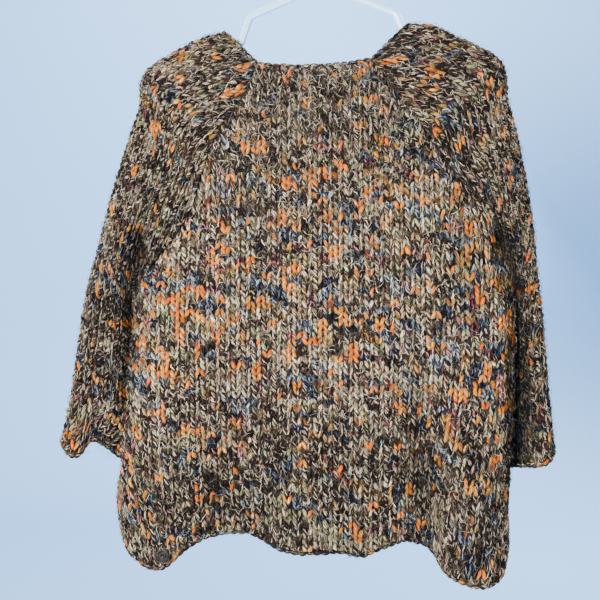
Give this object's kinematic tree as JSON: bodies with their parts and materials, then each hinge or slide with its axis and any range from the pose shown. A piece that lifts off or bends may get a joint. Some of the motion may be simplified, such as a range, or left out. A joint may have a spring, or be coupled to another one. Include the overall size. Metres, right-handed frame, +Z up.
{
  "type": "chunky knit cardigan on a coat hanger",
  "caption": "Chunky knit raglan cardigan with wide bell sleeves and an open front, hung on a white tubular plastic coat hanger.",
  "frame": {"origin": "the inside top of the hanger's hook, where a rail touches it", "axes": "+Z up, +X to the right as the garment's back is seen, the back faces -Y and the open front faces +Y"},
  "size_m": [0.5613, 0.1168, 0.7398],
  "materials": {
    "back_knit": "fuzzy marled wool yarn, matte",
    "front_left_knit": "fuzzy marled wool yarn, matte",
    "front_right_knit": "fuzzy marled wool yarn, matte",
    "sleeve_left_knit": "fuzzy marled wool yarn, matte",
    "sleeve_right_knit": "fuzzy marled wool yarn, matte",
    "hanger_plastic": "smooth, slightly glossy"
  },
  "bodies": {
    "root": {"back": "back_knit", "front_left": "front_left_knit", "front_right": "front_right_knit", "sleeve_left": "sleeve_left_knit", "sleeve_right": "sleeve_right_knit", "hanger_frame": "hanger_plastic", "hanger_hook": "hanger_plastic"}
  },
  "joints": []
}
